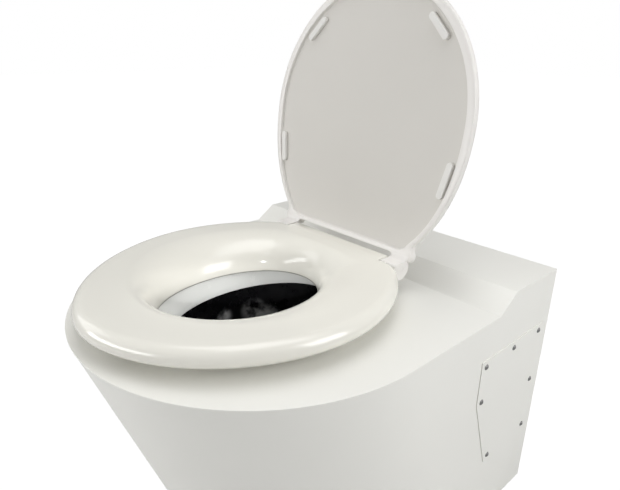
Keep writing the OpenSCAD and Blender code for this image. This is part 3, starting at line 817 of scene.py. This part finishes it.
def seat_ring(seat):
    """The broad ring: rounded outer edge, crown, funnel down to the lip and flat underside"""
    top = DECK_TOP + seat.rise
    low = top - seat.edge
    radius = seat.edge_radius
    middle = HINGE.y - seat.wide_at
    hole_middle = HINGE.y - seat.hole_at
    # The oval's reach behind its widest place, which the shoulders cut off, and the share of
    # the way from the hole to the edge at which the funnel begins
    behind = 0.245
    crown = 0.70
    angles = turns(192)

    def plan(angle, share, inset):
        """A place between the hole's edge, at share 0, and the outer edge, at share 1"""
        outer = oval_point(
            angle, seat.width / 2 - inset, seat.reach - seat.wide_at - inset, behind - inset,
            1.88, 1.95,
        )
        inner = oval_point(
            angle, seat.hole_width / 2, seat.hole_length / 2, seat.hole_length / 2, 2.1, 2.0
        )
        outer_y = min(middle + outer.y, HINGE.y - SHOULDER - 0.3 * inset)
        return Vector((
            inner.x * (1 - share) + outer.x * share,
            (hole_middle + inner.y) * (1 - share) + outer_y * share,
        ))

    def ring(share, inset, z):
        """A ring of points, whose share may follow the angle, and its height the depth"""
        made = []
        for angle in angles:
            spot = plan(angle, share(angle) if callable(share) else share, inset)
            made.append(Vector((spot.x, spot.y, z(spot.y) if callable(z) else z)))
        return made

    def under(y):
        """Height of the underside, which rises near the hinge"""
        return low + (HINGE.z - 0.008 - low) * part_way(y, HINGE.y - 0.050, 0.012)

    def steep(angle):
        """How far the funnel reaches out, less towards the front"""
        return 1 - 0.5 * max(0, -math.sin(angle)) ** 2

    quarter = [math.radians(11.25 * step) for step in range(9)]
    rings = [
        ring(1, radius * (1 - math.cos(t)), top - radius + radius * math.sin(t)) for t in quarter
    ]
    for u in (0.66, 0.33):
        rings.append(ring(lambda a: crown * steep(a) + (1 - crown * steep(a)) * u, radius, top))
    funnel = bezier([(crown, top), (0.36, top), (0.03, top - 0.018), (0, SEAT_LIP + 0.0015)], 26)
    for share, z in funnel:
        rings.append(ring(lambda a: share * steep(a), radius, z))
    for share, z in ((0.004, SEAT_LIP + 0.0004), (0.012, SEAT_LIP), (0.035, SEAT_LIP)):
        rings.append(ring(share, 0, z))
    for share in (0.13, 0.5):
        rings.append(ring(share, 0, under))
    for t in reversed(quarter[1:]):
        rise = 1 - math.sin(t)
        rings.append(ring(
            1, radius * (1 - math.cos(t)), lambda y: under(y) + rise * (top - radius - under(y))
        ))
    return loft(rings + rings[:1])


def seat_tongue(seat):
    """The bar behind the ring that turns on the hinge between the lid's ears"""
    knuckle = knuckle_height(seat)
    root = HINGE.y - SHOULDER - 0.02
    round_back = 0.006
    corner = Vector((HINGE.y + 0.006, knuckle - round_back))
    upper = [
        (corner.x + round_back * math.sin(t), corner.y + round_back * math.cos(t))
        for t in (math.pi / 2 * step / 10 for step in range(11))
    ]
    profile = [(root, -knuckle), (root, knuckle)] + upper
    profile += [(y, -dz) for y, dz in reversed(upper)]

    def section(x, inset):
        return [
            Vector((x, y - (inset if y > HINGE.y else 0), HINGE.z + dz * (1 - inset / knuckle)))
            for y, dz in profile
        ]

    half = seat.tongue / 2
    ends = [(-half, 0.0008), (-half + 0.0002, 0.0003), (-half + 0.0008, 0)]
    ends += [(-x, inset) for x, inset in reversed(ends)]
    left, right = ([Vector((x, HINGE.y - 0.01, HINGE.z))] * len(profile) for x in (-half, half))
    return loft([left, *(section(x, inset) for x, inset in ends), right])


class TOILET_OT_seat(bpy.types.Operator):
    """Model the moulded seat: crowned ring, funnel, tongue and hinge pockets"""

    bl_idname = "toilet.seat"
    bl_label = "Seat"

    def execute(self, context):
        seat = settings("seat")
        lid = settings("lid")
        ob = seat_ring(seat)
        carve(ob, seat_tongue(seat), "UNION")
        half = seat.tongue / 2
        ear_room = lid.ear_length + 0.006
        (front, foot), (back, head) = POST_CORNERS
        for side in (-1, 1):
            start, end = sorted((side * half, side * (half + ear_room)))
            carve(ob, bar(lid.ear_radius + EAR_ROUND_ROOM, start, end, HINGE.y, HINGE.z, 96))
            start, end = (side * POST_PLACE + edge for edge in (-POST_HALF_WIDTH, POST_HALF_WIDTH))
            carve(ob, bar(knuckle_height(seat) - 0.002, start, end, HINGE.y, HINGE.z))
            carve(ob, block(
                (start, HINGE.y + front, HINGE.z + foot), (end, HINGE.y + back, HINGE.z + head)
            ))
        carve(ob, bar(ROD_BORE, -half - 0.01, half + 0.01, HINGE.y, HINGE.z))
        finish_piece(ob, "moulded_seat", "seat", "seat")
        return {"FINISHED"}


# Lid


def soft_least(a, b, blend):
    """The smaller of two numbers, rounded off where they are close"""
    near = max(blend - abs(a - b), 0)
    return min(a, b) - near * near / (4 * blend)


def lid_plate(lid, under, ear_out):
    """The lid closed over its hinge at the origin: recess, rim and domed back"""
    top = under + lid.thickness
    roof = under + lid.recess
    rim = lid.rim
    dome = 0.003
    middle = Vector((0, -lid.wide_at))
    angles = turns(192)
    # Depth of the rear edge, of the rim's inner edge there, and of where the corners widen
    rear_edge, rim_rear, root = -0.0085, -0.026, -0.040

    def outline(angle, inset):
        """The lid's edge, drawn in by inset; its rear corners run out to the ears' ends"""
        share = inset / rim
        across, along = lid.width / 2 - inset, lid.wide_at + 0.030 - inset
        power = 2.1 + 0.15 * share
        spot = oval_point(angle, across, lid.reach - lid.wide_at - inset, along, 2.0, power)
        limit = rear_edge + share * (rim_rear - rear_edge)
        y = soft_least(spot.y - lid.wide_at, limit, 0.001 + 0.005 * min(1, share))
        cut = across * (1 - ((limit + lid.wide_at) / along) ** power) ** (1 / power)
        push = max(0, (ear_out - inset * 1.25) / cut - 1)
        near = part_way(y, root, limit - root)
        return Vector((spot.x * (1 + push * near * near * (3 - 2 * near)), y))

    def ring(inset, z, share=1):
        """The outline at a height, shrunk to a share of its size"""
        return [Vector((*middle.lerp(outline(a, inset), share), z)) for a in angles]

    section = [
        (rim + 0.003, roof), (rim + 0.0018, roof - 0.0003), (rim + 0.001, roof - 0.001),
        (rim, under + 0.001), (rim - 0.0004, under + 0.0003), (rim - 0.001, under),
        (0.0035, under), (0.002, under + 0.0003), (0.0006, under + 0.001), (0, under + 0.0026),
    ]
    section += bezier([(0, top - 0.008), (0, top - 0.003), (0.003, top), (0.010, top)], 8)
    inner, outer = (0.3, 0.6, 0.85), (0.9, 0.75, 0.55, 0.35, 0.15)
    rings = [[Vector((*middle, roof))] * len(angles)]
    rings += [ring(rim + 0.003, roof, share) for share in inner]
    marks = [1.0] * len(rings) + [1.0, 1.0, 0.6]
    rings += [ring(inset, z) for inset, z in section]
    rings += [ring(0.010, top + dome * (1 - share * share), share) for share in outer]
    rings += [[Vector((*middle, top + dome))] * len(angles)]
    return loft(rings, marks + [0.0] * (len(rings) - len(marks)))


def lid_slot(lid, ear_in):
    """The block whose shape is cut from the lid's rear edge to clear the seat's tongue"""
    slot = block((-ear_in, -lid.gap, 0), (ear_in, 0.040, 0.060))
    settle(slot)

    def front_corner(edge):
        first, second = (vert.co for vert in edge.verts)
        level = abs(first.y + lid.gap) < NEAR and abs(second.y + lid.gap) < NEAR
        return level and abs(first.x - second.x) < NEAR

    bevel_edges(slot, front_corner, 0.007, 8)
    return slot


def fillet_section(lid, knuckle, under):
    """Side view of the curve that runs from an ear's flat top up into the lid's underside"""
    curve, opened = 0.008, lid.opened
    foot = (under * math.cos(opened) - knuckle) / math.sin(opened)
    corner = foot * math.cos(opened) + under * math.sin(opened)
    sweep = math.pi - opened
    begin = corner - curve * math.tan(sweep / 2)
    spots = [
        Vector((begin + curve * math.sin(t), knuckle + curve - curve * math.cos(t)))
        for t in (sweep * step / 10 for step in range(11))
    ]
    spots.append(spots[-1] + Vector((0.004, 0)))
    spots.append(Vector((spots[-1].x, knuckle - 0.004)))
    spots.append(Vector((spots[0].x, knuckle - 0.004)))
    turned = Matrix.Rotation(opened, 2)
    return [turned @ spot for spot in spots]


def lid_ear(lid, knuckle, under, start, end):
    """A round ear, flat where it faces up on the open lid, with a fillet into the underside"""
    ear = bar(lid.ear_radius, start, end)
    flat = block((start - 0.01, -0.04, knuckle), (end + 0.01, 0.04, knuckle + 0.03))
    settle(flat)
    flat.rotation_euler.x = lid.opened
    carve(ear, flat)
    carve(ear, prism(fillet_section(lid, knuckle, under), start, end), "UNION")
    return ear


class TOILET_OT_lid(bpy.types.Operator):
    """Model the lid: domed back, raised rim, recess, ears and pads"""

    bl_idname = "toilet.lid"
    bl_label = "Lid"

    def execute(self, context):
        lid = settings("lid")
        seat = settings("seat")
        knuckle = knuckle_height(seat)
        under = knuckle + 0.001
        ear_in = seat.tongue / 2 + EAR_SIDE_ROOM
        ear_out = ear_in + lid.ear_length
        ob = lid_plate(lid, under, ear_out)
        carve(ob, lid_slot(lid, ear_in))
        for side in (-1, 1):
            start, end = sorted((side * ear_in, side * ear_out))
            carve(ob, lid_ear(lid, knuckle, under, start, end), "UNION", "MANIFOLD")
        carve(ob, bar(ROD_BORE, -ear_out - 0.01, ear_out + 0.01))
        ob.rotation_euler.x = -lid.opened
        ob.location = HINGE
        finish_piece(ob, "moulded_lid", "lid", "lid")

        pads = cad_copy("lid_bumpers")
        soften(pads, 0.0012, 3)
        finish_piece(pads, "lid_pads", "lid", "lid_bumpers")
        return {"FINISHED"}


# Studio

# Each soft light: place, what it faces, width and height, power in watts
LIGHTS = {
    "overhead": ((0.0, 0.0, 2.3), (0, 0, 0.4), (1.5, 1.1), 11.2),
    "window_left": ((-1.35, -1.05, 1.25), (0, -0.1, 0.4), (0.8, 1.0), 3.762),
    "window_right": ((1.9, 0.5, 1.3), (0, 0, 0.35), (1.0, 1.2), 20.92),
    "right_high": ((0.9, 0.35, 2.0), (0, 0.1, 0.4), (0.8, 0.8), 1.6),
    "front_low": ((-0.6, -2.1, 0.8), (0, -0.1, 0.3), (2.0, 0.6), 20.418),
    "hole_key": ((0.35, -0.45, 1.35), (-0.06, -0.02, 0.39), (0.16, 0.16), 0.223),
}

# Beam into the opening, just under the seat: place, what it faces, cone in degrees, how flat it
# is, power in watts
HOLE_BEAM = ((1.24, -1.12, 1.12), (-0.10, -0.01, 0.385), 12.0, 0.25, 68.52)

# Direction in which the even light is darker, and where that starts and is full
SHADE_SIDE = (0.74, -0.66, 0.10)
SHADE_REACH = (0.25, 0.95)

WHITE = (1, 1, 1)


def add_floor():
    """A pale floor that the camera sees as white, apart from the object's shadow"""
    bpy.ops.object.select_all(action="DESELECT")
    bpy.ops.mesh.primitive_plane_add(size=30, location=(0, 0, -0.0005))
    floor = bpy.context.object
    settle(floor)
    floor.name = "studio_floor"
    finish = Finish("studio_floor", Roughness=0.9, Specular_IOR_Level=0.1)
    finish.base((0.62, 0.62, 0.62))
    seen = finish.node("ShaderNodeLightPath", {}, {}, "Is Camera Ray")
    glow = finish.node("ShaderNodeEmission", {}, {"Color": WHITE, "Strength": 1.08})
    lit = Signal(finish, finish.shader.outputs["BSDF"])
    blend = finish.node("ShaderNodeMixShader", {}, {0: seen * 0.93, 1: lit, 2: glow})
    finish.feed(finish.tree.nodes["Material Output"].inputs["Surface"], blend)
    floor.data.materials.append(finish.material)


def add_surroundings(studio):
    """Even light from all round, darker on one side, which the camera sees as plain white"""
    world = bpy.data.worlds.new("studio")
    bpy.context.scene.world = world
    sky = Nodes(world)
    sky.tree.nodes.clear()
    towards = sky.node("ShaderNodeTexCoord", {}, {}, "Generated")
    options = {"operation": "DOT_PRODUCT"}
    facing = sky.node("ShaderNodeVectorMath", options, {0: towards, 1: SHADE_SIDE}, "Value")
    strength = (1 - sky.step(facing, *SHADE_REACH) * studio.shade) * studio.sky
    even = sky.node("ShaderNodeBackground", {}, {"Color": WHITE, "Strength": strength})
    white = sky.node("ShaderNodeBackground", {}, {"Color": WHITE, "Strength": 1.0})
    straight = sky.node("ShaderNodeLightPath", {}, {}, "Is Camera Ray")
    through = sky.node("ShaderNodeLightPath", {}, {}, "Is Transmission Ray")
    seen = sky.node("ShaderNodeMath", {"operation": "MAXIMUM"}, {0: straight, 1: through})
    blend = sky.node("ShaderNodeMixShader", {}, {0: seen, 1: even, 2: white})
    output = sky.tree.nodes.new("ShaderNodeOutputWorld")
    sky.feed(output.inputs["Surface"], blend)


def add_light(name, kind, place, aim, power):
    """A studio light that faces a place"""
    data = bpy.data.lights.new(name, kind)
    data.energy = power
    light = bpy.data.objects.new(name, data)
    bpy.context.scene.collection.objects.link(light)
    light.location = place
    light.rotation_euler = (Vector(aim) - Vector(place)).to_track_quat("-Z", "Y").to_euler()
    return light


def add_lights():
    for name, (place, aim, size, power) in LIGHTS.items():
        data = add_light(name, "AREA", place, aim, power).data
        data.shape = "RECTANGLE"
        data.size, data.size_y = size
    place, aim, cone, flatness, power = HOLE_BEAM
    beam = add_light("hole_fill", "SPOT", place, aim, power)
    beam.scale.y = flatness
    beam.data.spot_size = math.radians(cone)
    beam.data.spot_blend = 1.0
    beam.data.shadow_soft_size = 0.015


def add_camera(studio):
    data = bpy.data.cameras.new("camera")
    data.sensor_fit = "HORIZONTAL"
    data.sensor_width = 36
    data.lens = studio.lens
    data.clip_start = 0.02
    camera = bpy.data.objects.new("camera", data)
    bpy.context.scene.collection.objects.link(camera)
    camera.location = studio.place
    camera.rotation_euler = studio.turn
    bpy.context.scene.camera = camera


class TOILET_OT_studio(bpy.types.Operator):
    """Set the floor, the white surroundings, the lights and the camera"""

    bl_idname = "toilet.studio"
    bl_label = "Studio"

    def execute(self, context):
        studio = settings("studio")
        context.scene.view_settings.view_transform = "Standard"
        add_floor()
        add_surroundings(studio)
        add_lights()
        add_camera(studio)
        return {"FINISHED"}


class TOILET_PT_panel(bpy.types.Panel):
    """Lists the sizes, the colours and the pieces"""

    bl_label = "Bariatric toilet"
    bl_idname = "TOILET_PT_panel"
    bl_space_type = "VIEW_3D"
    bl_region_type = "UI"
    bl_category = "Toilet"

    def draw(self, context):
        layout = self.layout
        for name, group in GROUPS.items():
            box = layout.box()
            box.label(text=name.capitalize())
            for key in group.__annotations__:
                box.prop(settings(name), key)
        for operator in OPERATORS:
            layout.operator(operator.bl_idname)


GROUPS = {
    "pan": ToiletPan,
    "seat": ToiletSeat,
    "lid": ToiletLid,
    "colours": ToiletColours,
    "studio": ToiletStudio,
}
OPERATORS = (
    TOILET_OT_deck, TOILET_OT_fittings, TOILET_OT_collar, TOILET_OT_bowl,
    TOILET_OT_seat, TOILET_OT_lid, TOILET_OT_studio,
)


def register():
    for group in (*GROUPS.values(), *OPERATORS, TOILET_PT_panel):
        bpy.utils.register_class(group)
    for name, group in GROUPS.items():
        setattr(bpy.types.Scene, "toilet_" + name, bpy.props.PointerProperty(type=group))


def unregister():
    for name in GROUPS:
        delattr(bpy.types.Scene, "toilet_" + name)
    for group in reversed((*GROUPS.values(), *OPERATORS, TOILET_PT_panel)):
        bpy.utils.unregister_class(group)


def main():
    register()
    make_finishes()
    for operator in OPERATORS:
        getattr(bpy.ops.toilet, operator.bl_idname.split(".")[1])()


if __name__ == "__main__":
    main()
